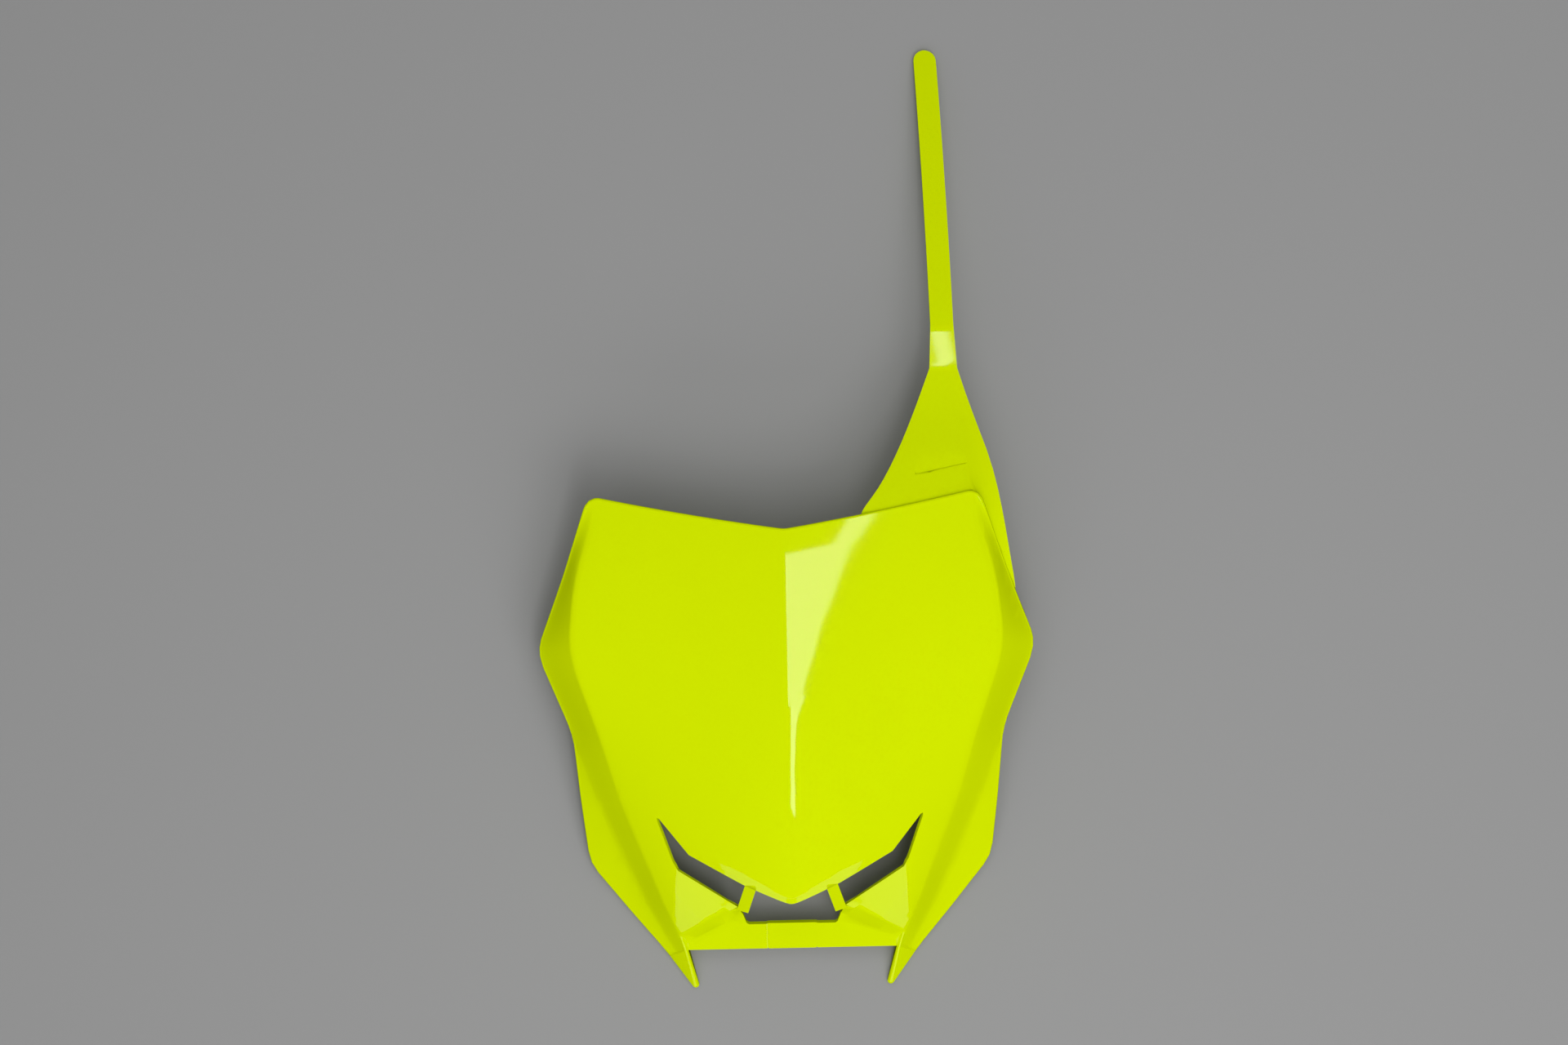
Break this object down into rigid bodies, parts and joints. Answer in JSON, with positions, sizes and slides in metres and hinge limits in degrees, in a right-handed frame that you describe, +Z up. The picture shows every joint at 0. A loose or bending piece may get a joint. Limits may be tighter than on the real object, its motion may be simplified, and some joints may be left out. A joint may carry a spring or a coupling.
{
  "type": "racing number board",
  "caption": "One-piece moulded front number plate for a motocross bike: creased shield, slanted vents, tilted lower bar, and a side wing that narrows into a long strap.",
  "frame": {"origin": "middle of the footprint, on the table that the part rests on", "axes": "+X across the board to the wing side, +Y from the leg tips to the strap end, +Z up out of the face"},
  "size_m": [0.2508, 0.4859, 0.064],
  "materials": {
    "board_plastic": "glossy fluorescent yellow-green polypropylene, plain and unprinted"
  },
  "bodies": {
    "root": {"number_board": "board_plastic"}
  },
  "joints": []
}
